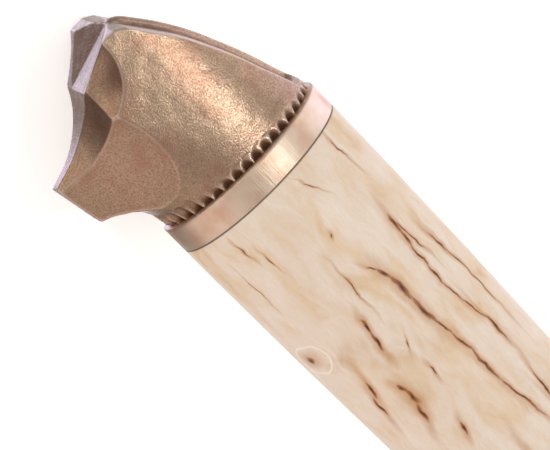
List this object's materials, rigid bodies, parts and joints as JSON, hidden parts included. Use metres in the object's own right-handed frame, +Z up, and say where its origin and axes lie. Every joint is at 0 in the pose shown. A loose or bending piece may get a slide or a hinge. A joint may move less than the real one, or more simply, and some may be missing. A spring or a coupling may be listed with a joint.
{
  "type": "fixed-blade knife with animal-head pommel",
  "caption": "Fixed-blade knife with a pale curly-wood handle, bronze end ring and a faceted cast animal-head pommel.",
  "frame": {"origin": "centre of the overall box, at the level the knife lies on", "axes": "+X along the knife to the blade's tip, +Y to the spine side, +Z up out of the knife's flat side"},
  "size_m": [0.2278, 0.037, 0.0226],
  "materials": {
    "steel": "satin ground",
    "bronze": "grained cast bronze",
    "leather": "dark pressed leather",
    "birch": "oiled curly birch with brown streaks",
    "ring_bronze": "satin bronze",
    "fastener_steel": "plain"
  },
  "bodies": {
    "root": {"blade": "steel", "bolster": "bronze", "front_spacer": "leather", "handle": "birch", "end_ring": "ring_bronze", "washer": "fastener_steel", "tang_nut": "fastener_steel", "dowel_pins": "fastener_steel", "pommel": "bronze"}
  },
  "joints": []
}
